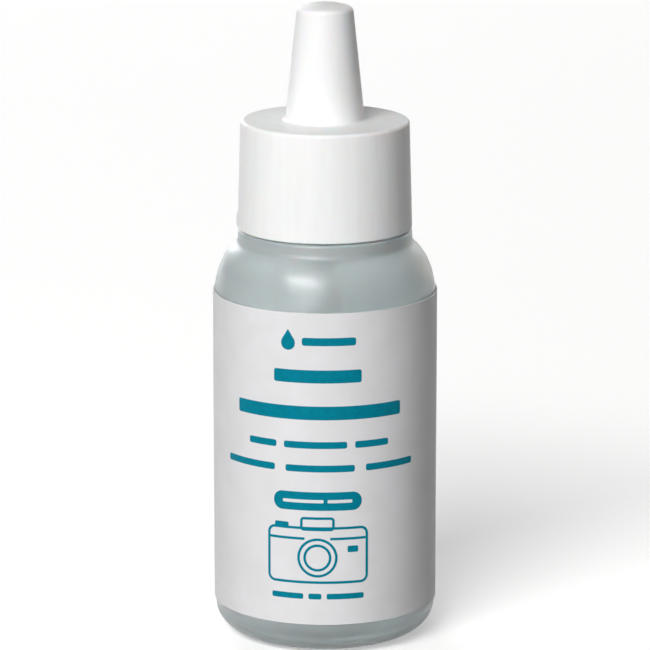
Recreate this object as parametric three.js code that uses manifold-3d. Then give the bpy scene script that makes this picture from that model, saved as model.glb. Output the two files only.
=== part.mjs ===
// A 30 ml squeeze-spray bottle of lens cleaning fluid, closed by a screw cap with a long tapered nose.
// Millimetres, +Z up. The origin is at the centre of the ring that the bottle stands on.
//
// Under the cap a press-in nozzle holds a grooved mixing core and a dip tube: squeezing the wall pushes
// fluid up the tube and air up the grooves, and both leave the orifice together as a spray.

import * as THREE from 'three';
import { mergeVertices } from 'three/addons/utils/BufferGeometryUtils.js';
import Module from 'manifold-3d';

// ---- Driving dimensions ----

const FACETS = 48; // round a full turn, on everything that is as wide as the neck
const FINE_FACETS = 24; // round a full turn, on the slender pieces
const FIT_GAP = 0.08; // between faces that rest on each other
const RUNNING_GAP = 0.3; // round a piece that has to slide past another

// Bottle: one blow-moulded shell.
const BODY_R = 15.25;
const WALL = 1.0;
const FOOT_R = 10.1; // outer edge of the ring it stands on
const FOOT_WIDTH = 1.8;
const PUSH_UP = 1.5; // height of the hollow under the base
const HEEL_H = 4.0;
const SHOULDER_Z = 47.8; // where the body starts to close in
const SHOULDER_IN = 4.9; // half-axes of the shoulder's elliptical arc
const SHOULDER_UP = 8.1;
const COLLAR_R = 12.0;
const COLLAR_TOP_Z = 57.25;
const COLLAR_EDGE = 0.45;
const NECK_R = 9.15;
const NECK_TOP_Z = 68.9;
const NECK_BORE_R = 7.4;
const NECK_CHAMFER = 0.35;

// Screw thread, right-handed, shared by the neck and the cap.
const THREAD_LEAD = 3.175; // eight turns to the inch
const THREAD_TURNS = 1.6;
const THREAD_STEP = 15; // degrees
const THREAD_RUN_OUT = 0.14; // share of the length over which each end fades into the wall
const THREAD_BURY = 0.4; // depth of its root inside the wall
const NECK_THREAD = { wallR: NECK_R, crestR: 9.95, rootWidth: 1.5, crestWidth: 0.8 };
const NECK_THREAD_Z = 61.6; // middle of the thread's lower end
const CAP_THREAD = { wallR: 10.3, crestR: 9.5, rootWidth: 1.2, crestWidth: 0.6 };

// Label: one strip wrapped round the body, its ends meeting at the back.
const LABEL_R = 15.5;
const LABEL_INNER_R = 15.3;
const LABEL_Z = 4.85;
const LABEL_H = 43.85;
const LABEL_SEAM = 0.4; // width of the slit between its ends

// Fluid.
const FLUID_LEVEL_Z = 48.2;

// Cap, measured from its rim.
const CAP_Z = 57.44;
const CAP_RIM_R = 12.0;
const CAP_TOP_R = 11.62;
const CAP_DECK_H = 14.96;
const CAP_DECK = 1.5; // thickness of the deck
const CAP_EDGE = 0.55;
const CAP_BORE_R = 10.3;
const CAP_LEAD_IN = 0.4;
const NOSE_BASE_R = 5.42;
const NOSE_FILLET = 0.5;
const NOSE_TIP_R = 3.92;
const NOSE_EDGE = 0.8;
const NOSE_DOME = 0.55; // rise of the domed end above its edge
const CAP_H = 31.16;
const NOSE_BORE_R = 4.35; // inside the nose at the deck
const NOSE_SEAT_R = 2.75; // inside the nose at its closed end
const NOSE_SEAT_H = 1.25;
const NOSE_END_WALL = 1.35;
const RIM_LUG = { out: 0.22, half: 1.0, tall: 1.05 }; // one small lug on the rim

// Nozzle insert, measured from the top of the neck.
const FLANGE_R = 8.8;
const FLANGE_H = 1.05;
const PLUG_R = 7.15;
const PLUG_DEPTH = 7.7;
const PLUG_WALL = 0.95;
const PLUG_BEAD = 0.15;
const PLUG_BEADS = [5.2, 1.9]; // depths of the two sealing beads
const WEB_H = 0.4; // the part of the web that reaches below the flange
const SLEEVE_R = 2.9;
const SLEEVE_DEPTH = 6.4;
const SPOUT_BASE_R = 3.85;
const SPOUT_TIP_R = 2.35;
const SPOUT_TOP = 17.05;
const SPOUT_EDGE = 0.8;
const SPOUT_BORE_R = 1.75;
const ORIFICE_R = 0.3;
const ORIFICE_LAND = 1.0;

// Dip tube and mixing core.
const TUBE_R = 1.5;
const TUBE_BORE_R = 0.9;
const TUBE_FOOT_Z = 3.4;
const TUBE_TOP_Z = 74.0;
const TUBE_CUT = 30; // degrees, the slope of its cut lower end
const CORE_LENGTH = 10.2;
const CORE_SPIGOT_R = 0.8;
const CORE_SPIGOT = 3.4;
const CORE_HOLE_R = 0.35;
const CORE_GROOVES = 3;
const CORE_GROOVE_WIDTH = 0.7;
const CORE_GROOVE_DEPTH = 0.5;

// Seals inside the cap.
const LINER_R = 9.2;
const LINER_HOLE_R = 4.75;
const LINER_H = 0.68;
const SEAL_R = 2.55;
const SEAL_H = 1.02;

// ---- Geometry helpers ----

const { degToRad } = THREE.MathUtils;

/** Points along an elliptical arc about (r, z). Angles are in degrees, 0 pointing away from the axis. */
function arc(r, z, halfR, halfZ, from, to, steps) {
  const points = [];
  for (let i = 0; i <= steps; i += 1) {
    const angle = degToRad(from + ((to - from) * i) / steps);
    points.push([r + halfR * Math.cos(angle), z + halfZ * Math.sin(angle)]);
  }
  return points;
}

/** Turns an outline of [r, z] points about the Z axis. The outline runs anticlockwise. */
function revolve(outline, facets = FACETS) {
  const points = outline.map(([r, z]) => new THREE.Vector2(r, z));
  const geometry = new THREE.LatheGeometry(points, facets);
  return geometry.rotateX(Math.PI / 2);
}

/** The same, for an outline that closes on itself and so leaves a hole along the axis. */
function revolveRing(outline, facets = FACETS) {
  return revolve([...outline, outline[0]], facets);
}

/** Bends a long box round a helix to make a thread, whose ends fade into the wall that carries it. */
function threadGeometry({ wallR, crestR, rootWidth, crestWidth }, startZ) {
  const steps = Math.round((360 * THREAD_TURNS) / THREAD_STEP);
  const geometry = new THREE.BoxGeometry(1, 1, 1, steps, 1, 1);
  const outward = Math.sign(crestR - wallR);
  const rootR = wallR - outward * THREAD_BURY;
  const hiddenR = wallR - outward * (THREAD_BURY / 4);
  const position = geometry.getAttribute('position');
  for (let i = 0; i < position.count; i += 1) {
    const along = position.getX(i) + 0.5;
    const atCrest = position.getY(i) > 0;
    const fade = Math.min(1, along / THREAD_RUN_OUT, (1 - along) / THREAD_RUN_OUT);
    const r = atCrest ? hiddenR + (crestR - hiddenR) * fade : rootR;
    const width = atCrest ? crestWidth : rootWidth;
    const angle = 2 * Math.PI * THREAD_TURNS * along;
    const z = startZ + THREAD_LEAD * THREAD_TURNS * along - outward * position.getZ(i) * width;
    position.setXYZ(i, r * Math.cos(angle), r * Math.sin(angle), z);
  }
  return geometry;
}

// ---- Cutting and joining ----

const wasm = await Module();
wasm.setup();

/** A closed geometry as a manifold solid. */
function solid(geometry) {
  const bare = geometry.clone();
  bare.deleteAttribute('normal');
  bare.deleteAttribute('uv');
  const merged = mergeVertices(bare, 1e-4);
  const index = merged.getIndex().array;
  const triangles = [];
  for (let i = 0; i < index.length; i += 3) {
    const [a, b, c] = [index[i], index[i + 1], index[i + 2]];
    if (a !== b && b !== c && c !== a) {
      triangles.push(a, b, c);
    }
  }
  const vertProperties = new Float32Array(merged.getAttribute('position').array);
  const triVerts = new Uint32Array(triangles);
  return new wasm.Manifold(new wasm.Mesh({ numProp: 3, vertProperties, triVerts }));
}

/** A manifold solid as a geometry. */
function geometryOf(manifold) {
  const mesh = manifold.getMesh();
  const geometry = new THREE.BufferGeometry();
  geometry.setAttribute('position', new THREE.BufferAttribute(new Float32Array(mesh.vertProperties), 3));
  geometry.setIndex(new THREE.BufferAttribute(new Uint32Array(mesh.triVerts), 1));
  geometry.computeVertexNormals();
  return geometry;
}

// ---- The pieces ----

/** The base's underside or inside: a shallow dome from the axis to the foot ring. */
function pushUpCurve(z, steps) {
  const innerR = FOOT_R - FOOT_WIDTH;
  const points = [];
  for (let i = 0; i <= steps; i += 1) {
    const rise = (PUSH_UP * (1 + Math.cos((Math.PI * i) / steps))) / 2;
    points.push([(innerR * i) / steps, z + rise]);
  }
  return points;
}

/** Where the shoulder's outer arc meets the collar, as an angle on that arc. */
function shoulderEndAngle() {
  const centreR = BODY_R - SHOULDER_IN;
  return THREE.MathUtils.radToDeg(Math.acos((COLLAR_R - centreR) / SHOULDER_IN));
}

/** Blow-moulded shell with a push-up base, a rounded shoulder, a collar and a threaded neck. */
function bottleGeometry() {
  const shoulderR = BODY_R - SHOULDER_IN;
  const outside = [
    ...pushUpCurve(0, 6),
    ...arc(FOOT_R, HEEL_H, BODY_R - FOOT_R, HEEL_H, -90, 0, 7),
    ...arc(shoulderR, SHOULDER_Z, SHOULDER_IN, SHOULDER_UP, 0, shoulderEndAngle(), 9),
    ...arc(COLLAR_R - COLLAR_EDGE, COLLAR_TOP_Z - COLLAR_EDGE, COLLAR_EDGE, COLLAR_EDGE, 0, 90, 3),
    [NECK_R, COLLAR_TOP_Z],
    [NECK_R, NECK_TOP_Z - NECK_CHAMFER],
    [NECK_R - NECK_CHAMFER, NECK_TOP_Z],
  ];
  const inside = [
    [NECK_BORE_R, NECK_TOP_Z],
    [NECK_BORE_R, COLLAR_TOP_Z],
    [NECK_BORE_R + 0.5 * WALL, COLLAR_TOP_Z - WALL],
    ...arc(shoulderR, SHOULDER_Z, SHOULDER_IN - WALL, SHOULDER_UP - WALL, 90, 0, 7),
    ...arc(FOOT_R, HEEL_H, BODY_R - FOOT_R - WALL, HEEL_H - WALL, 0, -90, 5),
    ...pushUpCurve(WALL, 6).reverse(),
  ];
  const shell = solid(revolve([...outside, ...inside]));
  const thread = solid(threadGeometry(NECK_THREAD, NECK_THREAD_Z));
  return geometryOf(shell.add(thread));
}

/** The strip of label, slit along the back where its two ends meet. */
function labelGeometry() {
  const back = Math.PI / 2;
  const halfSeam = LABEL_SEAM / 2 / LABEL_R;
  const shape = new THREE.Shape();
  shape.absarc(0, 0, LABEL_R, back + halfSeam, back - halfSeam + 2 * Math.PI, false);
  shape.absarc(0, 0, LABEL_INNER_R, back - halfSeam + 2 * Math.PI, back + halfSeam, true);
  shape.closePath();
  return new THREE.ExtrudeGeometry(shape, { depth: LABEL_H, bevelEnabled: false, curveSegments: FACETS });
}

/** The fluid fills the body to its level, round the dip tube. */
function fluidGeometry() {
  const lining = WALL + RUNNING_GAP / 2;
  const tubeHoleR = TUBE_R + RUNNING_GAP / 2;
  const heelR = BODY_R - FOOT_R - lining;
  return revolve([
    ...pushUpCurve(lining, 6),
    ...arc(FOOT_R, HEEL_H, heelR, HEEL_H - lining, -90, 0, 5),
    [FOOT_R + heelR, FLUID_LEVEL_Z],
    [tubeHoleR, FLUID_LEVEL_Z],
    [tubeHoleR, TUBE_FOOT_Z - RUNNING_GAP / 2],
    [0, TUBE_FOOT_Z - RUNNING_GAP / 2],
  ]);
}

/** Press-in insert: a flange on the neck, a plug skirt with two beads, a tube sleeve and the spout. */
function nozzleGeometry() {
  const beadHalfH = 0.4;
  const bead = (depth) => [
    [PLUG_R, -depth - beadHalfH],
    [PLUG_R + PLUG_BEAD, -depth],
    [PLUG_R, -depth + beadHalfH],
  ];
  const leadIn = 0.35;
  const leadInH = 0.6;
  const flangeEdge = 0.2;
  const spoutRootFillet = 0.5;
  const boreTop = SPOUT_TOP - ORIFICE_LAND - ORIFICE_R;
  return revolveRing([
    [SPOUT_BORE_R, -SLEEVE_DEPTH],
    [SLEEVE_R, -SLEEVE_DEPTH],
    [SLEEVE_R, -WEB_H],
    [PLUG_R - PLUG_WALL, -WEB_H],
    [PLUG_R - PLUG_WALL, -PLUG_DEPTH],
    [PLUG_R - leadIn, -PLUG_DEPTH],
    [PLUG_R, -PLUG_DEPTH + leadInH],
    ...PLUG_BEADS.flatMap(bead),
    [PLUG_R, 0],
    [FLANGE_R, 0],
    ...arc(FLANGE_R - flangeEdge, FLANGE_H - flangeEdge, flangeEdge, flangeEdge, 0, 90, 2),
    [SPOUT_BASE_R + spoutRootFillet, FLANGE_H],
    [SPOUT_BASE_R, FLANGE_H + spoutRootFillet],
    ...arc(SPOUT_TIP_R - SPOUT_EDGE, SPOUT_TOP - SPOUT_EDGE, SPOUT_EDGE, SPOUT_EDGE, 0, 90, 4),
    [ORIFICE_R, SPOUT_TOP],
    [ORIFICE_R, SPOUT_TOP - ORIFICE_LAND],
    [SPOUT_BORE_R, boreTop],
  ]);
}

/** The pin that ends the dip tube: a centre hole for fluid, side grooves for air. */
function coreGeometry() {
  const chamfer = 0.2;
  const pin = solid(
    revolveRing(
      [
        [CORE_HOLE_R, -CORE_SPIGOT],
        [CORE_SPIGOT_R, -CORE_SPIGOT],
        [CORE_SPIGOT_R, 0],
        [TUBE_R, 0],
        [TUBE_R, CORE_LENGTH - chamfer],
        [TUBE_R - chamfer, CORE_LENGTH],
        [CORE_HOLE_R, CORE_LENGTH],
      ],
      FINE_FACETS,
    ),
  );
  const overrun = 0.5;
  let grooved = pin;
  for (let i = 0; i < CORE_GROOVES; i += 1) {
    const cutter = new THREE.BoxGeometry(2 * CORE_GROOVE_DEPTH, CORE_GROOVE_WIDTH, CORE_LENGTH + 2 * overrun);
    cutter.translate(TUBE_R, 0, CORE_LENGTH / 2);
    cutter.rotateZ(degToRad((360 * i) / CORE_GROOVES));
    grooved = grooved.subtract(solid(cutter));
  }
  return geometryOf(grooved);
}

/** A straight tube whose lower end is cut on a slope, so that it can't seal against the base. */
function dipTubeGeometry() {
  const length = TUBE_TOP_Z - TUBE_FOOT_Z;
  const tube = solid(
    revolveRing(
      [
        [TUBE_BORE_R, 0],
        [TUBE_R, 0],
        [TUBE_R, length],
        [TUBE_BORE_R, length],
      ],
      FINE_FACETS,
    ),
  );
  const slope = degToRad(TUBE_CUT);
  const side = 4 * TUBE_R;
  const cutter = new THREE.BoxGeometry(2 * side, side, side);
  cutter.translate(0, 0, -side / 2);
  cutter.rotateY(slope);
  cutter.translate(0, 0, TUBE_R * Math.tan(slope));
  return geometryOf(tube.subtract(solid(cutter)));
}

/** One-piece cap: a plain drafted skirt, a flat deck and a tapered nose with a domed end. */
function capGeometry() {
  const noseTopR = NOSE_TIP_R - NOSE_EDGE;
  const noseEdgeZ = CAP_H - NOSE_DOME - NOSE_EDGE;
  const seatZ = CAP_H - NOSE_END_WALL;
  const underDeck = CAP_DECK_H - CAP_DECK;
  const rimRound = 0.12;
  const dome = [0.75, 0.5, 0.25, 0].map((share) => [noseTopR * share, CAP_H - NOSE_DOME * share * share]);
  const shell = solid(
    revolve([
      [0, seatZ],
      [NOSE_SEAT_R, seatZ],
      [NOSE_SEAT_R, seatZ - NOSE_SEAT_H],
      [NOSE_BORE_R, underDeck + CAP_DECK / 2],
      [LINER_HOLE_R, underDeck],
      [CAP_BORE_R, underDeck],
      [CAP_BORE_R, 2 * CAP_LEAD_IN],
      [CAP_BORE_R + CAP_LEAD_IN, 0],
      [CAP_RIM_R - rimRound, 0],
      [CAP_RIM_R, rimRound],
      ...arc(CAP_TOP_R - CAP_EDGE, CAP_DECK_H - CAP_EDGE, CAP_EDGE, CAP_EDGE, 0, 90, 4),
      ...arc(NOSE_BASE_R + NOSE_FILLET, CAP_DECK_H + NOSE_FILLET, NOSE_FILLET, NOSE_FILLET, 270, 186, 4),
      ...arc(noseTopR, noseEdgeZ, NOSE_EDGE, NOSE_EDGE, 6, 78, 4),
      ...dome,
    ]),
  );
  const threadZ = NECK_THREAD_Z - CAP_Z - THREAD_LEAD / 2;
  const thread = solid(threadGeometry(CAP_THREAD, threadZ));
  const lug = new THREE.SphereGeometry(1, 12, 8);
  lug.rotateX(Math.PI / 2);
  lug.scale(RIM_LUG.half, 2 * RIM_LUG.half, RIM_LUG.tall);
  lug.translate(-(CAP_RIM_R + RIM_LUG.out - RIM_LUG.half), 0, RIM_LUG.tall + rimRound);
  return geometryOf(shell.add(thread).add(solid(lug)));
}

/** Foam ring between the nozzle's flange and the cap's deck. */
function linerGeometry() {
  return revolveRing([
    [LINER_HOLE_R, 0],
    [LINER_R, 0],
    [LINER_R, LINER_H],
    [LINER_HOLE_R, LINER_H],
  ]);
}

/** Soft disc in the end of the nose, dimpled where it presses on the orifice. */
function tipSealGeometry() {
  const edge = 0.2;
  const dimple = 0.25;
  return revolve(
    [
      [0, dimple],
      [2 * ORIFICE_R, dimple],
      [4 * ORIFICE_R, 0],
      [SEAL_R - edge, 0],
      [SEAL_R, edge],
      [SEAL_R, SEAL_H],
      [0, SEAL_H],
    ],
    FINE_FACETS,
  );
}

// ---- Assembly ----

/** A named piece at height z with its own finish. */
function piece(name, geometry, z, color, roughness, opacity = 1) {
  const transparent = opacity < 1;
  const material = new THREE.MeshStandardMaterial({ color, roughness, metalness: 0, opacity, transparent });
  const mesh = new THREE.Mesh(geometry, material);
  mesh.name = name;
  mesh.position.z = z;
  return mesh;
}

const filledBottle = new THREE.Group();
filledBottle.add(
  piece('bottle', bottleGeometry(), 0, 0xa9b4b8, 0.35, 0.6),
  piece('wrap_label', labelGeometry(), LABEL_Z, 0xe6e2e1, 0.6),
  piece('cleaning_fluid', fluidGeometry(), 0, 0xd5e0e2, 0.05, 0.4),
);

const nozzleSet = new THREE.Group();
nozzleSet.position.z = NECK_TOP_Z + FIT_GAP;
const tubeTop = TUBE_TOP_Z - nozzleSet.position.z;
nozzleSet.add(
  piece('spray_nozzle', nozzleGeometry(), 0, 0xeef0ee, 0.4),
  piece('mixing_core', coreGeometry(), tubeTop + FIT_GAP, 0xf4f4f0, 0.4),
  piece('dip_tube', dipTubeGeometry(), TUBE_FOOT_Z - nozzleSet.position.z, 0xdde2e2, 0.3, 0.7),
);

const closure = new THREE.Group();
closure.position.z = CAP_Z;
const underDeckZ = CAP_DECK_H - CAP_DECK;
const noseEndZ = CAP_H - NOSE_END_WALL;
closure.add(
  piece('screw_cap', capGeometry(), 0, 0xf7f6f2, 0.35),
  piece('cap_liner', linerGeometry(), underDeckZ - FIT_GAP - LINER_H, 0xe9e9e4, 0.9),
  piece('tip_seal', tipSealGeometry(), noseEndZ - FIT_GAP - SEAL_H, 0xd9d9d4, 0.7),
);

const lensCleaningSpray = new THREE.Group();
lensCleaningSpray.add(filledBottle, nozzleSet, closure);

export default lensCleaningSpray;
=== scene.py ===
# The looks of the lens cleaning spray: a squeeze bottle with a wrapped label and a long-nosed screw cap.
#
# Pieces are built in millimetres and scaled to metres as they are made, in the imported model's own frame.
# Most are turned about the Z axis from an outline of (radius, height) pairs that runs anticlockwise.
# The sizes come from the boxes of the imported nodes, and what a box can't tell is a named value below.

import functools
import math

import bmesh
import bpy
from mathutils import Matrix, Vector


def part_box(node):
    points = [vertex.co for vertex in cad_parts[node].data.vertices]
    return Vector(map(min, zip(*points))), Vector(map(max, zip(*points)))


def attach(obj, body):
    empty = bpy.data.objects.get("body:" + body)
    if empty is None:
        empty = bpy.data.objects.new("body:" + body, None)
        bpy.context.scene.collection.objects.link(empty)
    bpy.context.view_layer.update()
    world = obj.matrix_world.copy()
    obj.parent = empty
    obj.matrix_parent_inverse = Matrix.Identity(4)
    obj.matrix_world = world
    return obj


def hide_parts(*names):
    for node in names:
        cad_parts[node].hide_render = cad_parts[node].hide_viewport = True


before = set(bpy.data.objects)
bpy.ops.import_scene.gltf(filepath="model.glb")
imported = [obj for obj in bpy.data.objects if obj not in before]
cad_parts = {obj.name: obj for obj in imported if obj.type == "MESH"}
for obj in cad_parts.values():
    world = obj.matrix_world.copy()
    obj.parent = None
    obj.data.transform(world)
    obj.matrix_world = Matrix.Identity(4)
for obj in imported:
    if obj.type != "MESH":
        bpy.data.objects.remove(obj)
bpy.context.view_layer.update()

MM = 0.001
BACK = math.pi / 2  # the direction of +Y, where the label's ends meet
TURN = 2 * math.pi
SAME = 1e-6  # two values that are closer than this are the same

# ---- Sizes that the boxes don't give, in millimetres ----

WALL = 1.0
FOOT_R = 10.1
FOOT_WIDTH = 1.8
PUSH_UP = 1.5
HEEL_H = 4.0
SHOULDER_Z = 47.8
SHOULDER_IN = 4.9
SHOULDER_UP = 8.1
COLLAR_R = 12.0
COLLAR_TOP_Z = 57.25
COLLAR_EDGE = 0.45
COLLAR_RUN_IN = 0.4  # how far out from the collar its fillet leaves the shoulder
NECK_R = 9.15
NECK_BORE_R = 7.4
NECK_CHAMFER = 0.35
NECK_LIP_ROUND = 0.2
PARTING_RIDGE = 0.035
PINCH_OFF_RIDGE = 0.15
PINCH_OFF_HALF_WIDTH = 0.22
PINCH_OFF_REACH = 6.5  # how far from the axis the ridge under the base runs
PINCH_OFF_RUN_OUT = 2.0  # the length over which each of its ends fades

THREAD_LEAD = 3.175
THREAD_TURNS = 1.6
THREAD_RUN_OUT = 0.14  # share of the length over which each end fades into the wall
THREAD_H = 0.8
NECK_THREAD = {"start_z": 61.6, "root_width": 1.5, "crest_width": 0.8}
CAP_THREAD = {"start_z": 61.6 - THREAD_LEAD / 2, "root_width": 1.2, "crest_width": 0.6}

LABEL_THICK = 0.2
LABEL_SEAM = 0.4
LABEL_CORNER = 1.4
LABEL_RIPPLE = 0.008

MENISCUS_CLIMB = 0.45  # how far the fluid climbs the wall
MENISCUS_REACH = 1.6
MENISCUS_STEEPNESS = 2.2
TUBE_CLEARANCE = 0.1  # between the tube and the fluid round it

CAP_TOP_R = 11.62
CAP_DECK_H = 14.96
CAP_DECK = 1.5
CAP_EDGE = 0.55
CAP_BORE_R = 10.3
CAP_LEAD_IN = 0.4
NOSE_BASE_R = 5.42
NOSE_FILLET = 0.5
NOSE_TIP_R = 3.92
NOSE_EDGE = 0.8
NOSE_DOME = 0.55
NOSE_BORE_R = 4.35
NOSE_SEAT_R = 2.75
NOSE_SEAT_H = 1.25
NOSE_END_WALL = 1.35
RIM_ROUND = 0.18
RIM_LUG = {"out": 0.22, "half_width": 1.5, "half_height": 1.05, "middle": 1.1}  # one small lug on the rim
LINER_HOLE_R = 4.75
LINER_BULGE = 0.12
SEAL_EDGE = 0.2
SEAL_DIMPLE = 0.25

FLANGE_H = 1.05
FLANGE_EDGE = 0.22
FLANGE_UNDERCUT = 0.1
PLUG_R = 7.15
PLUG_DEPTH = 7.7
PLUG_WALL = 0.95
PLUG_LEAD_IN = 0.35
PLUG_LEAD_IN_H = 0.6
PLUG_BEAD = 0.15
PLUG_BEAD_HALF_H = 0.4
PLUG_BEADS = (5.2, 1.9)  # depths of the two sealing beads
WEB_H = 0.4
WEB_FILLET = 0.3
SLEEVE_R = 2.9
SLEEVE_DEPTH = 6.4
SLEEVE_CHAMFER = 0.2
SPOUT_ROOT_FILLET = 0.6
SPOUT_BASE_R = 3.85
SPOUT_TIP_R = 2.35
SPOUT_EDGE = 0.8
SPOUT_BORE_R = 1.75
ORIFICE_R = 0.3
ORIFICE_LAND = 1.0
ORIFICE_CHAMFER = 0.12
TUBE_BORE_R = 0.9
TUBE_CHAMFER = 0.1
TUBE_CUT = math.radians(30)
CORE_SPIGOT = 3.4
CORE_SPIGOT_R = 0.8
CORE_HOLE_R = 0.35
CORE_CHAMFER = 0.2
CORE_GROOVES = 3
CORE_GROOVE_WIDTH = 0.7
CORE_GROOVE_DEPTH = 0.5

# ---- Points round a full turn ----

FACETS = 192  # on the bottle and the cap
INNER_FACETS = 128  # on the pieces inside them
CORE_FACETS = 96
SEAL_FACETS = 64
TUBE_FACETS = 48


@functools.cache
def mm_box(node):
    """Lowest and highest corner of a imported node, in millimetres."""
    low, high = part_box(node)
    return low / MM, high / MM


# ---- Outlines ----

def arc(r, z, half_r, half_z, start, end, steps):
    """Points along an elliptical arc about (r, z). Angles in degrees, 0 pointing away from the axis."""
    angles = [math.radians(start + (end - start) * i / steps) for i in range(steps + 1)]
    return [(r + half_r * math.cos(a), z + half_z * math.sin(a)) for a in angles]


def run(start, end, steps):
    """Evenly spaced points from start to end, both included."""
    return [
        (start[0] + (end[0] - start[0]) * i / steps, start[1] + (end[1] - start[1]) * i / steps)
        for i in range(steps + 1)
    ]


def smooth(t):
    """0 below 0, 1 above 1, and a smooth step between."""
    t = min(1.0, max(0.0, t))
    return t * t * (3 - 2 * t)


# ---- Meshes ----

def link(name, mesh, finish, body, replaces=()):
    """Makes an object of a mesh, gives it its finish and ties it to the frame."""
    piece = bpy.data.objects.new(name, mesh)
    bpy.context.scene.collection.objects.link(piece)
    mesh.materials.append(finish)
    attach(piece, body)
    if replaces:
        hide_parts(*replaces)


def mesh_of(name, points, faces, sharp=35):
    """A smooth-shaded mesh from points in millimetres, with edges kept sharp above an angle in degrees."""
    mesh = bpy.data.meshes.new(name)
    mesh.from_pydata([Vector(p) * MM for p in points], [], faces)
    mesh.validate()
    mesh.shade_smooth()
    mesh.set_sharp_from_angle(angle=math.radians(sharp))
    return mesh


def lathe(name, outline, facets, ring=False, shape=None):
    """Turns an outline about Z. With ring, it closes on itself. shape(r, angle, z) may move each point."""
    on_axis = [r < SAME for r, _ in outline]
    points = []
    first = []
    for (r, z), single in zip(outline, on_axis):
        first.append(len(points))
        for i in range(1 if single else facets):
            angle = TURN * i / facets
            new_r, new_z = shape(r, angle, z) if shape else (r, z)
            points.append((new_r * math.cos(angle), new_r * math.sin(angle), new_z))
    faces = []
    rows = len(outline)
    for j in range(rows if ring else rows - 1):
        following = (j + 1) % rows
        low, high = first[j], first[following]
        for i in range(facets):
            k = (i + 1) % facets
            if on_axis[j]:
                faces.append((low, high + k, high + i))
            elif on_axis[following]:
                faces.append((low + i, low + k, high))
            else:
                faces.append((low + i, low + k, high + k, high + i))
    return mesh_of(name, points, faces)


def thread_rise(angle, z, start_z, root_width, crest_width):
    """How far a thread stands out at a point of its wall, from 0 to 1."""
    rise = 0.0
    for whole_turn in range(math.ceil(THREAD_TURNS)):
        along = (angle / TURN + whole_turn) / THREAD_TURNS
        if 0 <= along <= 1:
            off = abs(z - start_z - THREAD_LEAD * THREAD_TURNS * along)
            flank = (root_width / 2 - off) / (root_width / 2 - crest_width / 2)
            fade = min(1.0, along / THREAD_RUN_OUT, (1 - along) / THREAD_RUN_OUT)
            rise = max(rise, smooth(flank) * smooth(fade))
    return rise


# ---- Materials ----

NOISE_LOW, NOISE_HIGH = 0.3, 0.7  # nearly all of a noise value lies between these


def material(name, color, roughness, **sockets):
    """A Principled material with its constant values on the shader's own sockets."""
    made = bpy.data.materials.new(name)
    made.use_nodes = True
    shader = made.node_tree.nodes["Principled BSDF"]
    shader.inputs["Base Color"].default_value = (*color, 1)
    shader.inputs["Roughness"].default_value = roughness
    for socket, value in sockets.items():
        shader.inputs[socket.replace("_", " ")].default_value = value
    return made


def noise(made, size_mm, detail=3, stretch=(1, 1, 1)):
    """Noise with features of about size_mm, in the object's own space."""
    nodes, links = made.node_tree.nodes, made.node_tree.links
    coordinates = nodes.new("ShaderNodeTexCoord")
    mapping = nodes.new("ShaderNodeMapping")
    mapping.inputs["Scale"].default_value = stretch
    texture = nodes.new("ShaderNodeTexNoise")
    texture.inputs["Scale"].default_value = 1 / (size_mm * MM)
    texture.inputs["Detail"].default_value = detail
    links.new(coordinates.outputs["Object"], mapping.inputs["Vector"])
    links.new(mapping.outputs["Vector"], texture.inputs["Vector"])
    return texture.outputs["Fac"]


def spread(made, value, low, high):
    """Maps a noise value onto a range."""
    node = made.node_tree.nodes.new("ShaderNodeMapRange")
    node.inputs["From Min"].default_value = NOISE_LOW
    node.inputs["From Max"].default_value = NOISE_HIGH
    node.inputs["To Min"].default_value = low
    node.inputs["To Max"].default_value = high
    made.node_tree.links.new(value, node.inputs["Value"])
    return node.outputs["Result"]


def vary_color(made, value, first, second):
    """Base colour between two colours, by a noise value."""
    nodes, links = made.node_tree.nodes, made.node_tree.links
    mix = nodes.new("ShaderNodeMix")
    mix.data_type = "RGBA"
    mix.inputs["A"].default_value = (*first, 1)
    mix.inputs["B"].default_value = (*second, 1)
    links.new(spread(made, value, 0, 1), mix.inputs["Factor"])
    links.new(mix.outputs["Result"], nodes["Principled BSDF"].inputs["Base Color"])


def specks(made, cell_mm, radius_mm, share):
    """1 inside a few small round specks scattered through the material, 0 elsewhere."""
    nodes, links = made.node_tree.nodes, made.node_tree.links
    coordinates = nodes.new("ShaderNodeTexCoord")
    cells = nodes.new("ShaderNodeTexVoronoi")
    cells.inputs["Scale"].default_value = 1 / (cell_mm * MM)
    links.new(coordinates.outputs["Object"], cells.inputs["Vector"])
    near = nodes.new("ShaderNodeMath")
    near.operation = "LESS_THAN"
    near.inputs[1].default_value = radius_mm / cell_mm
    links.new(cells.outputs["Distance"], near.inputs[0])
    chosen = nodes.new("ShaderNodeMath")
    chosen.operation = "LESS_THAN"
    chosen.inputs[1].default_value = share
    links.new(cells.outputs["Color"], chosen.inputs[0])
    both = nodes.new("ShaderNodeMath")
    both.operation = "MULTIPLY"
    links.new(near.outputs["Value"], both.inputs[0])
    links.new(chosen.outputs["Value"], both.inputs[1])
    return both.outputs["Value"]


def tint_where(made, mask, color):
    """Lays a colour over the base colour where a mask is 1."""
    nodes, links = made.node_tree.nodes, made.node_tree.links
    base_color = nodes["Principled BSDF"].inputs["Base Color"]
    mix = nodes.new("ShaderNodeMix")
    mix.data_type = "RGBA"
    mix.inputs["B"].default_value = (*color, 1)
    links.new(base_color.links[0].from_socket, mix.inputs["A"])
    links.new(mask, mix.inputs["Factor"])
    links.new(mix.outputs["Result"], base_color)


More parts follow.
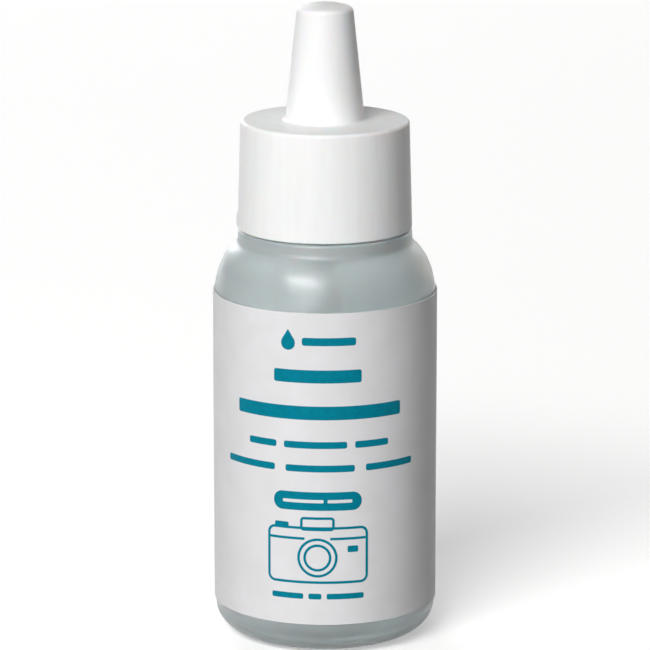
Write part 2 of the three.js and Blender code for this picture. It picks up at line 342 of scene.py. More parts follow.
def paint_shade_below(made, z, color, fade=(1.15, 0.82)):
    """Painted shade: multiplies the base colour by a darker tint below a height. It fades in between two
    shares of the height.
    """
    nodes, links = made.node_tree.nodes, made.node_tree.links
    base_color = nodes["Principled BSDF"].inputs["Base Color"]
    coordinates = nodes.new("ShaderNodeTexCoord")
    split = nodes.new("ShaderNodeSeparateXYZ")
    links.new(coordinates.outputs["Object"], split.inputs["Vector"])
    low = nodes.new("ShaderNodeMapRange")
    low.inputs["From Min"].default_value = fade[0] * z * MM
    low.inputs["From Max"].default_value = fade[1] * z * MM
    links.new(split.outputs["Z"], low.inputs["Value"])
    mix = nodes.new("ShaderNodeMix")
    mix.data_type = "RGBA"
    mix.blend_type = "MULTIPLY"
    mix.inputs["B"].default_value = (*color, 1)
    links.new(base_color.links[0].from_socket, mix.inputs["A"])
    links.new(low.outputs["Result"], mix.inputs["Factor"])
    links.new(mix.outputs["Result"], base_color)


def vary_roughness(made, value, low, high):
    """Roughness between two values, by a noise value."""
    nodes, links = made.node_tree.nodes, made.node_tree.links
    links.new(spread(made, value, low, high), nodes["Principled BSDF"].inputs["Roughness"])


def add_bump(made, layers):
    """Chains bumps. Each layer is a height value, its depth in millimetres and its strength."""
    nodes, links = made.node_tree.nodes, made.node_tree.links
    below = None
    for height, depth_mm, strength in layers:
        bump = nodes.new("ShaderNodeBump")
        bump.inputs["Distance"].default_value = depth_mm * MM
        bump.inputs["Strength"].default_value = strength
        links.new(height, bump.inputs["Height"])
        if below:
            links.new(below, bump.inputs["Normal"])
        below = bump.outputs["Normal"]
    links.new(below, nodes["Principled BSDF"].inputs["Normal"])


def bottle_material(name, clarity):
    """Natural low-density polyethylene: milky, faintly blue, with the soft streaks of blow moulding, and
    painted shade darkening the heel.
    """
    made = material(
        name, (0.88, 0.93, 0.97), 0.33,
        IOR=1.51, Transmission_Weight=clarity, Subsurface_Weight=0.3, Subsurface_Scale=0.002,
    )
    streaks = noise(made, 5, detail=4, stretch=(1, 1, 0.35))
    vary_color(made, streaks, (0.815, 0.88, 0.89), (0.875, 0.935, 0.945))
    # Painted shade: the heel's colour is darkened to stand in for the floor's shading at the foot.
    paint_shade_below(made, HEEL_H, (0.74, 0.755, 0.75))
    vary_roughness(made, noise(made, 1.6), 0.28, 0.38)
    add_bump(made, [
        (noise(made, 3.2, detail=2, stretch=(1, 1, 0.5)), 0.05, 0.3),
        (noise(made, 0.28), 0.012, 0.35),
    ])
    return made


def cap_material():
    """White polypropylene with the drawn satin grain of its mould and a few dark specks."""
    made = material(
        "white_polypropylene", (0.86, 0.86, 0.84), 0.4,
        IOR=1.49, Specular_IOR_Level=0.3, Subsurface_Weight=0.25, Subsurface_Scale=0.001,
    )
    streaks = noise(made, 1.3, detail=4, stretch=(1, 1, 0.12))
    vary_color(made, streaks, (0.88, 0.885, 0.885), (0.92, 0.925, 0.925))
    tint_where(made, specks(made, cell_mm=3.1, radius_mm=0.12, share=0.3), (0.56, 0.54, 0.5))
    vary_roughness(made, noise(made, 1.1), 0.34, 0.46)
    add_bump(made, [
        (noise(made, 2.4, detail=2, stretch=(1, 1, 0.3)), 0.03, 0.2),
        (noise(made, 0.16), 0.01, 0.4),
    ])
    return made


def label_material():
    """Off-white satin film, a little cloudy, with a fine fibrous tooth."""
    made = material("label_film", (0.76, 0.76, 0.77), 0.5, IOR=1.5, Specular_IOR_Level=0.7)
    cloud = noise(made, 5, detail=6)
    vary_color(made, cloud, (0.735, 0.735, 0.745), (0.795, 0.785, 0.805))
    vary_roughness(made, noise(made, 0.9), 0.44, 0.58)
    add_bump(made, [
        (noise(made, 6, detail=2, stretch=(1, 1, 0.4)), 0.04, 0.25),
        (noise(made, 0.2, detail=4), 0.012, 0.4),
    ])
    return made


def ink_material():
    """Teal printing ink, very slightly uneven."""
    made = material("teal_ink", (0.0, 0.17, 0.24), 0.5, IOR=1.48, Specular_IOR_Level=0.12)
    mottle = noise(made, 0.7, detail=5)
    vary_color(made, mottle, (0.0, 0.185, 0.265), (0.0, 0.225, 0.32))
    vary_roughness(made, noise(made, 0.35), 0.4, 0.52)
    add_bump(made, [(noise(made, 0.15), 0.006, 0.3)])
    return made


def fluid_material():
    """Clear watery cleaner with a breath of haze."""
    made = material("cleaning_fluid", (0.9, 0.95, 0.97), 0.02, IOR=1.34, Transmission_Weight=0.95)
    haze = noise(made, 12, detail=1)
    vary_color(made, haze, (0.88, 0.935, 0.955), (0.92, 0.96, 0.975))
    vary_roughness(made, noise(made, 8, detail=1), 0.01, 0.04)
    return made


def nozzle_material(name, color, transmission):
    """Unpigmented polyethylene of the nozzle, core and tube."""
    made = material(
        name, color, 0.4,
        IOR=1.51, Transmission_Weight=transmission, Subsurface_Weight=0.4, Subsurface_Scale=0.001,
    )
    darker = tuple(0.95 * c for c in color)
    vary_color(made, noise(made, 3), darker, color)
    vary_roughness(made, noise(made, 0.8), 0.34, 0.48)
    add_bump(made, [(noise(made, 0.2), 0.01, 0.35)])
    return made


def seal_material(name, color, cell_mm):
    """Closed-cell foam or soft rubber: matt, with a pitted face."""
    made = material(name, color, 0.8)
    darker = tuple(0.88 * c for c in color)
    vary_color(made, noise(made, 4 * cell_mm), darker, color)
    vary_roughness(made, noise(made, cell_mm), 0.72, 0.9)
    add_bump(made, [(noise(made, cell_mm, detail=5), 0.05, 0.6)])
    return made


# ---- Bottle, label and fluid ----

def push_up_rise(r):
    """Height of the dome under the base, over the foot ring."""
    return PUSH_UP * (1 + math.cos(math.pi * r / (FOOT_R - FOOT_WIDTH))) / 2


def push_up(z, steps):
    """The shallow dome over the base, from the axis to the foot ring."""
    return [(r, z + push_up_rise(r)) for r, _ in run((0, 0), (FOOT_R - FOOT_WIDTH, 0), steps)]


def shoulder_arc(inset, end_angle, steps):
    """The shoulder's elliptical arc, upwards, at some depth below the outside."""
    body_r = mm_box("bottle")[1].x
    centre_r = body_r - SHOULDER_IN
    return arc(centre_r, SHOULDER_Z, SHOULDER_IN - inset, SHOULDER_UP - inset, 0, end_angle, steps)


def collar_fillet(shoulder, steps):
    """The hollow corner between the shoulder and the collar's upright wall, tangent to both."""
    (below_r, below_z), (r, z) = shoulder[-2:]
    slope = (z - below_z) / (below_r - r)
    corner_z = z + slope * (r - COLLAR_R)
    top_z = corner_z + math.dist((r, z), (COLLAR_R, corner_z))
    points = []
    for i in range(1, steps + 1):
        t = i / steps
        first, middle, last = (1 - t) ** 2, 2 * t * (1 - t), t * t
        points.append((COLLAR_R + (r - COLLAR_R) * first, z * first + corner_z * middle + top_z * last))
    return points


def bottle_shape(r, angle, z):
    """Adds the neck's thread, the mould's parting line and the pinch-off ridge under the base."""
    if abs(r - NECK_R) < SAME:
        return r + THREAD_H * thread_rise(angle, z, **NECK_THREAD), z
    if r < PINCH_OFF_REACH and abs(z - push_up_rise(r)) < SAME:
        fade = smooth((PINCH_OFF_REACH - r) / PINCH_OFF_RUN_OUT)
        off = r * math.sin(angle) / PINCH_OFF_HALF_WIDTH
        return r, z - PINCH_OFF_RIDGE * fade * math.exp(-off ** 2)
    on_body = r > COLLAR_R - COLLAR_EDGE and z < COLLAR_TOP_Z - WALL
    on_collar = r > COLLAR_R - SAME
    on_parting_line = abs(math.sin(angle)) < SAME
    return (r + PARTING_RIDGE if on_parting_line and (on_body or on_collar) else r), z


def make_bottle(finish, thick_finish):
    """The blow-moulded shell. From the collar up it is thicker, and so a little milkier."""
    high = mm_box("bottle")[1]
    body_r, top = high.x, high.z
    shoulder_centre_r = body_r - SHOULDER_IN
    end_angle = math.acos((COLLAR_R + COLLAR_RUN_IN - shoulder_centre_r) / SHOULDER_IN)
    shoulder = shoulder_arc(0, math.degrees(end_angle), 40)
    flare = 0.5 * WALL  # by which the bore widens at the shoulder
    outside = [
        *push_up(0, 30),
        *arc(FOOT_R, HEEL_H, body_r - FOOT_R, HEEL_H, -90, 0, 24),
        *run((body_r, HEEL_H + 1), (body_r, SHOULDER_Z - 1), 20),
        *shoulder,
        *collar_fillet(shoulder, 12),
        *arc(COLLAR_R - COLLAR_EDGE, COLLAR_TOP_Z - COLLAR_EDGE, COLLAR_EDGE, COLLAR_EDGE, 0, 90, 6),
        *run((NECK_R, COLLAR_TOP_Z), (NECK_R, top - NECK_CHAMFER), 80),
        # It starts short of NECK_R, where bottle_shape would raise a thread.
        *arc(NECK_R - NECK_CHAMFER, top - NECK_CHAMFER, NECK_CHAMFER - 0.01, NECK_CHAMFER, 10, 90, 4),
    ]
    inside = [
        *arc(NECK_BORE_R + NECK_LIP_ROUND, top - NECK_LIP_ROUND, NECK_LIP_ROUND, NECK_LIP_ROUND, 90, 180, 3),
        (NECK_BORE_R, COLLAR_TOP_Z),
        (NECK_BORE_R + 0.24 * flare, COLLAR_TOP_Z - flare),
        (NECK_BORE_R + flare, COLLAR_TOP_Z - 2 * flare),
        *reversed(shoulder_arc(WALL, 90, 30)),
        *arc(FOOT_R, HEEL_H, body_r - FOOT_R - WALL, HEEL_H - WALL, 0, -90, 16),
        *reversed(push_up(WALL, 20)),
    ]
    mesh = lathe("bottle_shell", outside + inside, FACETS, shape=bottle_shape)
    link("bottle_shell", mesh, finish, "squeeze_bottle", ["bottle"])
    mesh.materials.append(thick_finish)
    collar_foot = shoulder[-1][1] * MM
    for face in mesh.polygons:
        face.material_index = int(face.center.z > collar_foot)


def label_radius(u, z):
    """The film's outer radius, with long, very slight waves."""
    crossed = math.sin(0.31 * u + 0.6) * math.sin(0.17 * z + 1.1)
    slanting = 0.6 * math.sin(0.13 * u - 0.23 * z)
    return mm_box("wrap_label")[1].x + LABEL_RIPPLE * (crossed + slanting)


def on_label(u, z, proud):
    """A point at arc length u from the front and height z, proud of the film."""
    angle = u / mm_box("wrap_label")[1].x - BACK
    r = label_radius(u, z) + proud
    return (r * math.cos(angle), r * math.sin(angle), z)


def make_label(finish):
    """One strip of film round the body. Its corners are rounded, and its ends nearly meet at the back."""
    low, high = mm_box("wrap_label")
    columns, rows = 384, 36
    half = math.pi * high.x - LABEL_SEAM / 2
    points = []
    for i in range(columns + 1):
        t = i / columns
        u = -half + 2 * half * t
        from_end = min(half - abs(u), LABEL_CORNER)
        cut = LABEL_CORNER - math.sqrt(LABEL_CORNER ** 2 - (LABEL_CORNER - from_end) ** 2)
        for j in range(rows + 1):
            z = low.z + cut + (high.z - low.z - 2 * cut) * j / rows
            points.append(on_label(u, z, 0))
            points.append(on_label(u, z, -LABEL_THICK))

    def at(i, j, inner):
        return 2 * (i * (rows + 1) + j) + inner

    faces = []
    for i in range(columns):
        for j in range(rows):
            faces.append((at(i, j, 0), at(i + 1, j, 0), at(i + 1, j + 1, 0), at(i, j + 1, 0)))
            faces.append((at(i, j, 1), at(i, j + 1, 1), at(i + 1, j + 1, 1), at(i + 1, j, 1)))
        faces.append((at(i, 0, 0), at(i, 0, 1), at(i + 1, 0, 1), at(i + 1, 0, 0)))
        faces.append((at(i, rows, 0), at(i + 1, rows, 0), at(i + 1, rows, 1), at(i, rows, 1)))
    for j in range(rows):
        faces.append((at(0, j, 0), at(0, j + 1, 0), at(0, j + 1, 1), at(0, j, 1)))
        faces.append((at(columns, j, 0), at(columns, j, 1), at(columns, j + 1, 1), at(columns, j + 1, 0)))
    mesh = mesh_of("label_strip", points, faces)
    link("label_strip", mesh, finish, "squeeze_bottle", ["wrap_label"])


def make_fluid(finish):
    """The contents, which climb the wall and the tube a little at their surface."""
    low, high = mm_box("cleaning_fluid")
    tube_low, tube_high = mm_box("dip_tube")
    hole_r = tube_high.x + TUBE_CLEARANCE
    foot = tube_low.z - 2 * TUBE_CLEARANCE
    at_wall = [
        (high.x - MENISCUS_REACH * t, high.z - MENISCUS_CLIMB * (1 - (1 - t) ** MENISCUS_STEEPNESS))
        for t in (0, 0.1, 0.25, 0.45, 0.7, 1)
    ]
    at_tube = [
        (hole_r + out, high.z - MENISCUS_CLIMB * drop)
        for out, drop in ((1.2, 1), (0.5, 0.7), (0, 0.2))
    ]
    mesh = lathe("fluid_body", [
        *push_up(low.z, 20),
        *arc(FOOT_R, HEEL_H, high.x - FOOT_R, HEEL_H - low.z, -90, 0, 16),
        *at_wall,
        *at_tube,
        (hole_r, foot),
        (0, foot),
    ], INNER_FACETS)
    link("fluid_body", mesh, finish, "squeeze_bottle", ["cleaning_fluid"])


# ---- Print on the label ----

PRINT_U = -1.05  # the print's middle, a little left of the bottle's front
INK_PROUD = 0.02
INK_SUNK = -0.02
LINE = 0.36  # width of the pictogram's lines

# Places are given from the print's middle and from the ground, as u and z. A row is u, z, width, height.
MARK = {"u": -4.05, "z": 44.5, "radius": 1.0, "tip": 1.9}
HEADING_BARS = (
    (1.6, 44.75, 7.4, 1.1),
    (0, 39.9, 12.2, 1.8),
    (0, 34.8, 24.4, 1.9),
)
HEADING_CORNER = 0.3
PILL = (0, 22.4, 12.3, 2.6)
PILL_CORNER = 1.25

# Lines of blank blocks: z, width, height, and the blocks' shares of the width.
UPPER_LINE = (30.3, 20.3, 0.95, (3, 6, 3.4))
LOWER_LINE = (27.0, 28.8, 0.95, (7, 8, 6.4))
PILL_LINE = (22.4, 9.6, 0.45, (6, 3.6))
FOOT_LINE = (8.9, 12.9, 0.8, (4, 1.6, 4.6))

# The camera pictogram, in the same rows.
CAMERA_BODY = (0, 14.75, 13.8, 7.7)
CAMERA_BODY_CORNER = 0.9
CAMERA_HUMP = (0, 19.2, 4.4, 1.6)
CAMERA_HUMP_CORNER = 0.35
CAMERA_BANDS = ((-4.3, 17.1, 5.1, LINE), (4.3, 17.1, 5.1, LINE))
CAMERA_BAND_CORNER = 0.1
CAMERA_LENS_Z = 14.4
CAMERA_LENS_RADII = (2.6, 1.75)
CAMERA_FLASH = (4.9, 15.6, 1.5, 0.9)
CAMERA_BUTTON = (-5.0, 19.0, 2.0, 0.7)
CAMERA_SMALL_CORNER = 0.2


class Print:
    """Thin closed patches of ink, laid on the label round the bottle."""

    def __init__(self, proud=INK_PROUD):
        self.points = []
        self.faces = []
        self.proud = proud

    def strip(self, left, right, closed=False):
        """A patch between two lists of (u, z) points of equal length."""
        base = len(self.points)
        for (u0, z0), (u1, z1) in zip(left, right):
            for u, z in ((u0, z0), (u1, z1)):
                self.points.append(on_label(PRINT_U + u, z, self.proud))
                self.points.append(on_label(PRINT_U + u, z, INK_SUNK))
        count = len(left)

        def at(i, side, sunk):
            return base + 4 * (i % count) + 2 * side + sunk

        for i in range(count if closed else count - 1):
            j = i + 1
            self.faces.append((at(i, 0, 0), at(i, 1, 0), at(j, 1, 0), at(j, 0, 0)))
            self.faces.append((at(i, 0, 1), at(j, 0, 1), at(j, 1, 1), at(i, 1, 1)))
            self.faces.append((at(i, 0, 0), at(j, 0, 0), at(j, 0, 1), at(i, 0, 1)))
            self.faces.append((at(i, 1, 0), at(i, 1, 1), at(j, 1, 1), at(j, 1, 0)))
        if not closed:
            self.faces.append((at(0, 0, 0), at(0, 0, 1), at(0, 1, 1), at(0, 1, 0)))
            end = count - 1
            self.faces.append((at(end, 0, 0), at(end, 1, 0), at(end, 1, 1), at(end, 0, 1)))

    def drop(self, u, z, radius, tip, columns=24):
        """A falling drop: a disc about (u, z) with its tip some way above, in upright columns."""
        touch = math.asin(radius / tip)  # where the straight sides leave the disc
        low, high = [], []
        for side, _ in run((-radius, 0), (radius, 0), columns):
            round_z = math.sqrt(max(0, radius ** 2 - side ** 2))
            straight_z = tip - abs(side) / math.tan(touch)
            on_disc = abs(side) > radius * math.cos(touch)
            low.append((u + side, z - round_z))
            high.append((u + side, z + (round_z if on_disc else max(round_z, straight_z))))
        self.strip(low, high)

    def bar(self, u, z, width, height, corner, steps=8, column=0.5):
        """A bar with rounded corners, centred at (u, z), in columns of about some width."""
        quarter = [math.radians(90 * i / steps) for i in range(steps + 1)]
        edge = [(corner * (1 - math.cos(a)), corner * (1 - math.sin(a))) for a in quarter]
        columns = [(-width / 2 + along, down) for along, down in edge]
        straight = width - 2 * corner
        middle = max(1, round(straight / column))
        for i in range(1, middle):
            columns.append((-width / 2 + corner + straight * i / middle, 0))
        columns += [(width / 2 - along, down) for along, down in reversed(edge)]
        deepest = 0.96 * height / 2  # so that the ends of a full round don't close up
        reach = [(u + x, height / 2 - min(down, deepest)) for x, down in columns]
        self.strip([(x, z + h) for x, h in reach], [(x, z - h) for x, h in reach])

    def ring(self, u, z, radius, steps=72):
        """A circle, drawn with a line."""
        def circle(r):
            angles = [TURN * i / steps for i in range(steps)]
            return [(u + r * math.sin(a), z + r * math.cos(a)) for a in angles]

        self.strip(circle(radius - LINE / 2), circle(radius + LINE / 2), closed=True)

    def frame(self, u, z, width, height, corner):
        """The outline of a rounded rectangle, drawn with a line."""
        def outline(grow):
            half_w, half_h, r = width / 2 + grow, height / 2 + grow, corner + grow
            points = []
            for side, up, start in ((1, 1, 0), (-1, 1, 90), (-1, -1, 180), (1, -1, 270)):
                points += arc(u + side * (half_w - r), z + up * (half_h - r), r, r, start, start + 90, 6)
                if side == up:  # a level side follows, in short steps that keep to the label's curve
                    far_end = (u - side * (half_w - r), points[-1][1])
                    points += run(points[-1], far_end, 24)[1:-1]
            return points

        self.strip(outline(-LINE / 2), outline(LINE / 2), closed=True)

    def make(self, name, finish):
        """Links the patches as one piece of the label."""
        mesh = mesh_of(name, self.points, self.faces, sharp=30)
        patches = bmesh.new()
        patches.from_mesh(mesh)
        bmesh.ops.recalc_face_normals(patches, faces=patches.faces)
        patches.to_mesh(mesh)
        patches.free()
        link(name, mesh, finish, "squeeze_bottle")


def blank_line(print_, z, width, height, words, gap=0.055):
    """A line of blank blocks where words would be. gap is the space between them, a share of the width."""
    left = -width / 2
    space = gap * width
    printed = width - space * (len(words) - 1)
    for share in words:
        length = printed * share / sum(words)
        print_.bar(left + length / 2, z, length, height, corner=0.3 * height)
        left += length + space


def draw_camera(print_):
    """A plain camera seen from the front: body, viewfinder hump, lens, flash and shutter button."""
    print_.frame(*CAMERA_BODY, CAMERA_BODY_CORNER)
    print_.frame(*CAMERA_HUMP, CAMERA_HUMP_CORNER)
    for band in CAMERA_BANDS:
        print_.bar(*band, CAMERA_BAND_CORNER)
    for radius in CAMERA_LENS_RADII:
        print_.ring(0, CAMERA_LENS_Z, radius)
    for bar in (CAMERA_FLASH, CAMERA_BUTTON):
        print_.bar(*bar, CAMERA_SMALL_CORNER)


def make_print(finish, paper):
    """Generic print in place of the label's own: a drop, bars and blank lines, a pill and a camera."""
    mark = Print()
    mark.drop(**MARK)
    mark.make("print_mark", finish)

    heading = Print()
    for bar in HEADING_BARS:
        heading.bar(*bar, HEADING_CORNER)
    heading.make("print_heading", finish)

    lines = Print()
    for line in (UPPER_LINE, LOWER_LINE):
        blank_line(lines, *line)
    lines.make("print_lines", finish)

    pill = Print()
    pill.bar(*PILL, PILL_CORNER)
    pill.make("print_pill", finish)

    pill_line = Print(proud=2 * INK_PROUD)
    blank_line(pill_line, *PILL_LINE)
    pill_line.make("print_pill_line", paper)

    camera = Print()
    draw_camera(camera)
    camera.make("print_camera", finish)

    foot = Print()
    blank_line(foot, *FOOT_LINE)
    foot.make("print_foot_line", finish)


# ---- Nozzle, core and tube ----

def make_nozzle(finish):
    """The press-in insert, from the foot of its sleeve, round the plug and the flange, to the orifice."""
    low, high = mm_box("spray_nozzle")
    seat = low.z + PLUG_DEPTH  # the top of the neck
    web = seat - WEB_H
    deck = seat + FLANGE_H
    plug_bore_r = PLUG_R - PLUG_WALL
    flange_r, top = high.x, high.z
    edge, root = FLANGE_EDGE, SPOUT_ROOT_FILLET
    outline = [
        (SPOUT_BORE_R, seat - SLEEVE_DEPTH),
        (SLEEVE_R - SLEEVE_CHAMFER, seat - SLEEVE_DEPTH),
        (SLEEVE_R, seat - SLEEVE_DEPTH + SLEEVE_CHAMFER),
        (SLEEVE_R, web - WEB_FILLET),
        (SLEEVE_R + WEB_FILLET, web),
        (plug_bore_r - WEB_FILLET, web),
        (plug_bore_r, web - WEB_FILLET),
        (plug_bore_r, low.z),
        (PLUG_R - PLUG_LEAD_IN, low.z),
        (PLUG_R, low.z + PLUG_LEAD_IN_H),
    ]
    for depth in PLUG_BEADS:
        outline += arc(PLUG_R, seat - depth, PLUG_BEAD, PLUG_BEAD_HALF_H, -90, 90, 9)
    outline += [
        (PLUG_R, seat),
        (flange_r - FLANGE_UNDERCUT, seat),
        *arc(flange_r - edge, deck - edge, edge, edge, 0, 90, 6),
        *arc(SPOUT_BASE_R + root, deck + root, root, root, 270, 186, 8),
        *arc(SPOUT_TIP_R - SPOUT_EDGE, top - SPOUT_EDGE, SPOUT_EDGE, SPOUT_EDGE, 6, 90, 12),
        (ORIFICE_R + ORIFICE_CHAMFER, top),
        (ORIFICE_R, top - ORIFICE_CHAMFER),
        (ORIFICE_R, top - ORIFICE_LAND),
        (SPOUT_BORE_R, top - ORIFICE_LAND - ORIFICE_R),
    ]
    mesh = lathe("nozzle_insert", outline, INNER_FACETS, ring=True)
    link("nozzle_insert", mesh, finish, "squeeze_bottle", ["spray_nozzle"])


def core_shape(r, angle, z):
    """Adds the grooves down the outside of the core."""
    low, high = mm_box("mixing_core")
    if r < high.x - 1.5 * CORE_CHAMFER or z < low.z + CORE_SPIGOT - SAME:
        return r, z
    pitch = TURN / CORE_GROOVES
    off = (angle + pitch / 2) % pitch - pitch / 2
    inside = abs(r * math.sin(off)) < CORE_GROOVE_WIDTH / 2
    return (r - CORE_GROOVE_DEPTH if inside else r), z


def make_core(finish):
    """The pin that ends the tube. The point at the grooves' depth lets them cut the shoulder cleanly."""
    low, high = mm_box("mixing_core")
    shoulder = low.z + CORE_SPIGOT
    mesh = lathe("mixing_pin", [
        (CORE_HOLE_R, low.z),
        (CORE_SPIGOT_R, low.z),
        (CORE_SPIGOT_R, shoulder),
        (high.x - CORE_GROOVE_DEPTH, shoulder),
        (high.x, shoulder),
        (high.x, high.z - CORE_CHAMFER),
        (high.x - CORE_CHAMFER, high.z),
        (CORE_HOLE_R, high.z),
    ], CORE_FACETS, ring=True, shape=core_shape)
    link("mixing_pin", mesh, finish, "squeeze_bottle", ["mixing_core"])


def make_tube(finish):
    """The dip tube, with its foot cut on a slope."""
    low, high = mm_box("dip_tube")
    outer = high.x
    slope = math.tan(TUBE_CUT)

    def shape(r, angle, z):
        if z > low.z + SAME:
            return r, z
        return r, low.z + (outer - r * math.cos(angle)) * slope

    above_cut = low.z + 2 * outer * slope + 0.5
    mesh = lathe("tube_drawn", [
        (TUBE_BORE_R, low.z),
        (outer, low.z),
        *run((outer, above_cut), (outer, high.z - TUBE_CHAMFER), 30),
        (outer - TUBE_CHAMFER, high.z),
        (TUBE_BORE_R, high.z),
    ], TUBE_FACETS, ring=True, shape=shape)
    link("tube_drawn", mesh, finish, "squeeze_bottle", ["dip_tube"])


# ---- Cap, liner and seal ----

def cap_shape(r, angle, z):
    """Adds the thread inside the skirt and the small lug on the rim's left side."""
    low, high = mm_box("screw_cap")
    if abs(r - CAP_BORE_R) < SAME:
        return r - THREAD_H * thread_rise(angle, z, **CAP_THREAD), z
    outside = r > (CAP_BORE_R + high.x) / 2
    if outside and math.cos(angle) < 0:
        across = high.x * math.sin(angle) / RIM_LUG["half_width"]
        along = (z - low.z - RIM_LUG["middle"]) / RIM_LUG["half_height"]
        swell = max(0.0, 1 - across ** 4 - along ** 4)
        return r + RIM_LUG["out"] * math.sqrt(swell), z
    return r, z


def make_cap(finish):
    """The one-piece cap: up its inside, down to the rim, and up its outside to the nose's domed end."""
    low, high = mm_box("screw_cap")
    rim, top, rim_r = low.z, high.z, high.x
    deck = rim + CAP_DECK_H
    under = deck - CAP_DECK
    seat = top - NOSE_END_WALL
    corner = 0.5  # rounds the inside between deck and skirt, and ends just short of the threaded wall
    nose_top_r = NOSE_TIP_R - NOSE_EDGE
    dome = [(nose_top_r * (1 - i / 10), top - NOSE_DOME * (1 - i / 10) ** 2) for i in range(1, 11)]
    beside_lug = run((rim_r, rim + 0.3), (rim_r - 0.06, rim + 2.6), 22)  # close rows, on the skirt's draft
    mesh = lathe("cap_shell", [
        (0, seat),
        (NOSE_SEAT_R, seat),
        (NOSE_SEAT_R, seat - NOSE_SEAT_H),
        (NOSE_BORE_R, under + CAP_DECK / 2),
        (LINER_HOLE_R, under),
        *run((LINER_HOLE_R + 0.3, under), (CAP_BORE_R - corner, under), 4),
        *arc(CAP_BORE_R - corner, under - corner, corner - 0.001, corner, 90, 10, 4),
        *run((CAP_BORE_R, under - 2 * corner), (CAP_BORE_R, rim + 2 * CAP_LEAD_IN), 80),
        (CAP_BORE_R + CAP_LEAD_IN, rim),
        *arc(rim_r - RIM_ROUND, rim + RIM_ROUND, RIM_ROUND, RIM_ROUND, -90, 0, 5),
        *beside_lug,
        *arc(CAP_TOP_R - CAP_EDGE, deck - CAP_EDGE, CAP_EDGE, CAP_EDGE, 2, 88, 12),
        *arc(NOSE_BASE_R + NOSE_FILLET, deck + NOSE_FILLET, NOSE_FILLET, NOSE_FILLET, 268, 186, 12),
        *arc(nose_top_r, top - NOSE_DOME - NOSE_EDGE, NOSE_EDGE, NOSE_EDGE, 6, 72, 12),
        *dome,
    ], FACETS, shape=cap_shape)
    link("cap_shell", mesh, finish, "cap", ["screw_cap"])


def make_liner(finish):
    """The foam ring under the cap's deck, with bulging edges."""
    low, high = mm_box("cap_liner")
    half = (high.z - low.z) / 2
    middle = low.z + half
    outer = arc(high.x - LINER_BULGE, middle, LINER_BULGE, half, -80, 80, 8)
    inner = arc(LINER_HOLE_R + LINER_BULGE, middle, LINER_BULGE, half, 100, 260, 8)
    mesh = lathe("liner_ring", outer + inner, INNER_FACETS, ring=True)
    link("liner_ring", mesh, finish, "cap_lifter", ["cap_liner"])


def make_seal(finish):
    """The soft disc in the end of the nose, dimpled where it presses on the orifice."""
    low, high = mm_box("tip_seal")
    dimple = [(4 * ORIFICE_R * t, low.z + SEAL_DIMPLE * (1 - smooth(t))) for t in (0, 0.2, 0.4, 0.6, 0.8, 1)]
    mesh = lathe("seal_disc", [
        *dimple,
        *arc(high.x - SEAL_EDGE, low.z + SEAL_EDGE, SEAL_EDGE, SEAL_EDGE, -90, 0, 4),
        *arc(high.x - SEAL_EDGE, high.z - SEAL_EDGE, SEAL_EDGE, SEAL_EDGE, 0, 90, 4),
        (0, high.z),
    ], SEAL_FACETS)
    link("seal_disc", mesh, finish, "cap", ["tip_seal"])


# ---- Floor, lights and camera ----

VIEW_MIDDLE_Z = 0.49 * mm_box("screw_cap")[1].z * MM  # where the camera and the lights point
VIEW_DISTANCE = 0.6
VIEW_ELEVATION = 13.5  # degrees
LENS_MM = 240
SENSOR_MM = 36
NEAREST_VISIBLE = 0.01
FLOOR_HALF_SIZE = 6
FLOOR_GLOW = 0.34


def aim(thing, azimuth, elevation, distance):
    """Puts a lamp or camera round the object, facing its middle. Azimuth 0 is in front, positive right."""
    a, e = math.radians(azimuth), math.radians(elevation)
    direction = Vector((math.sin(a) * math.cos(e), -math.cos(a) * math.cos(e), math.sin(e)))
    thing.location = Vector((0, 0, VIEW_MIDDLE_Z)) + direction * distance
    thing.rotation_euler = (-direction).to_track_quat("-Z", "Y").to_euler()


def make_floor():
    """A wide sheet of pale paper. It throws no bounce light, which keeps the white cap's shading."""
    mesh = bpy.data.meshes.new("floor")
    grid = bmesh.new()
    bmesh.ops.create_grid(grid, x_segments=2, y_segments=2, size=FLOOR_HALF_SIZE)
    grid.to_mesh(mesh)
    grid.free()
    floor = bpy.data.objects.new("floor", mesh)
    bpy.context.scene.collection.objects.link(floor)
    finish = material(
        "pale_floor", (0.92, 0.92, 0.92), 0.9,
        Specular_IOR_Level=0.1, Emission_Color=(1, 1, 1, 1), Emission_Strength=FLOOR_GLOW,
    )
    vary_roughness(finish, noise(finish, 40), 0.85, 0.95)
    mesh.materials.append(finish)
    floor.visible_diffuse = False


# Soft lights that face the object: azimuth, elevation, width and height in metres, watts, colour.
LIGHT_DISTANCE = 2.4
LIGHTS = {
    "key": (-24, 37, 1.4, 0.45, 45, (1, 0.995, 0.985)),
    "front_fill": (-19, 8, 1.2, 1.0, 24, (1, 1, 1)),
    "right_rim": (138, 10, 1.0, 1.0, 3, (1, 0.86, 0.7)),
    "back_right": (162, 16, 1.0, 1.0, 5, (1, 1, 1)),
    "back_left": (-162, 16, 1.0, 1.0, 13, (1, 1, 1)),
    "rear_fill_right": (158, 5, 1.4, 1.0, 17, (1, 1, 1)),
    "rear_fill_left": (-158, 5, 1.4, 1.0, 25, (1, 1, 1)),
}
MATT_LIGHTS = ("front_fill", "rear_fill_right", "rear_fill_left")  # leave no highlight of their own
ROOM_LIGHT = 0.125  # near the horizon
ROOM_LIGHT_POLES = 0.02  # straight above and below
ROOM_COLOR = (0.96, 0.98, 1, 1)


def add_light(name, azimuth, elevation, width, height, watts, color):
    """A rectangular soft light that faces the middle of the object."""
    data = bpy.data.lights.new(name, "AREA")
    data.shape = "RECTANGLE"
    data.size = width
    data.size_y = height
    data.energy = watts
    data.color = color
    lamp = bpy.data.objects.new(name, data)
    bpy.context.scene.collection.objects.link(lamp)
    aim(lamp, azimuth, elevation, LIGHT_DISTANCE)
    return lamp


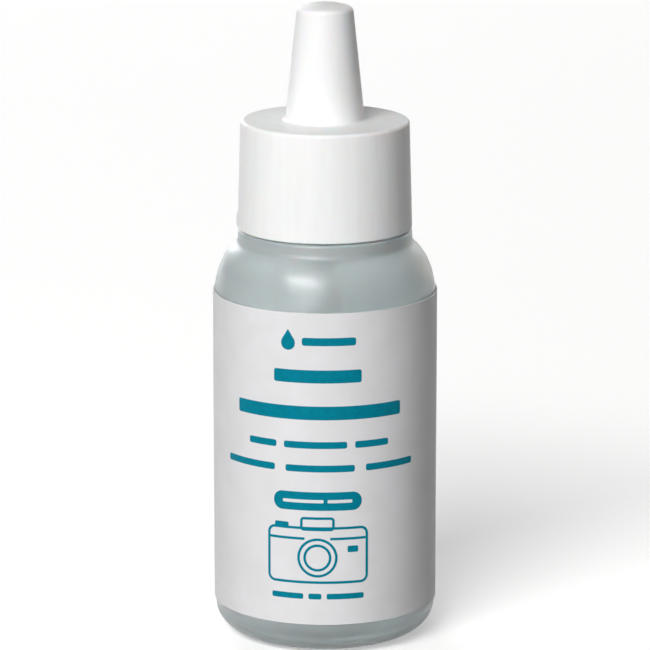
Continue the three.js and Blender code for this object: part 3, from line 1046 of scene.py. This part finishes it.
def make_room():
    """A dim even room, brightest round the horizon."""
    world = bpy.data.worlds.new("soft_room")
    world.use_nodes = True
    nodes, links = world.node_tree.nodes, world.node_tree.links
    direction = nodes.new("ShaderNodeTexCoord")
    height = nodes.new("ShaderNodeSeparateXYZ")
    steepness = nodes.new("ShaderNodeMath")
    steepness.operation = "ABSOLUTE"
    strength = nodes.new("ShaderNodeMapRange")
    strength.inputs["To Min"].default_value = ROOM_LIGHT
    strength.inputs["To Max"].default_value = ROOM_LIGHT_POLES
    links.new(direction.outputs["Generated"], height.inputs["Vector"])
    links.new(height.outputs["Z"], steepness.inputs[0])
    links.new(steepness.outputs["Value"], strength.inputs["Value"])
    links.new(strength.outputs["Result"], nodes["Background"].inputs["Strength"])
    nodes["Background"].inputs["Color"].default_value = ROOM_COLOR
    bpy.context.scene.world = world


def make_lights():
    """The room and its lights, shown as they are, with no film curve."""
    make_room()
    for name, values in LIGHTS.items():
        lamp = add_light(name, *values)
        lamp.visible_glossy = name not in MATT_LIGHTS
    bpy.context.scene.view_settings.view_transform = "Standard"


def make_camera():
    """A long lens, looking slightly down at the front."""
    data = bpy.data.cameras.new("camera")
    data.lens = LENS_MM
    data.sensor_width = SENSOR_MM
    data.clip_start = NEAREST_VISIBLE
    camera = bpy.data.objects.new("camera", data)
    bpy.context.scene.collection.objects.link(camera)
    aim(camera, 0, VIEW_ELEVATION, VIEW_DISTANCE)
    bpy.context.scene.camera = camera


# ---- Everything ----

make_camera()
make_lights()
make_floor()

label_finish = label_material()
thin_wall = bottle_material("natural_polyethylene", clarity=0.74)
thick_wall = bottle_material("thick_polyethylene", clarity=0.6)
make_bottle(thin_wall, thick_wall)
make_label(label_finish)
make_fluid(fluid_material())
make_print(ink_material(), label_finish)
make_nozzle(nozzle_material("nozzle_polyethylene", (0.8, 0.82, 0.82), transmission=0.15))
make_core(nozzle_material("core_polyethylene", (0.82, 0.82, 0.8), transmission=0.1))
make_tube(nozzle_material("tube_polyethylene", (0.74, 0.78, 0.8), transmission=0.45))
make_cap(cap_material())
make_liner(seal_material("liner_foam", (0.78, 0.78, 0.75), cell_mm=0.25))
make_seal(seal_material("seal_rubber", (0.7, 0.7, 0.68), cell_mm=0.12))
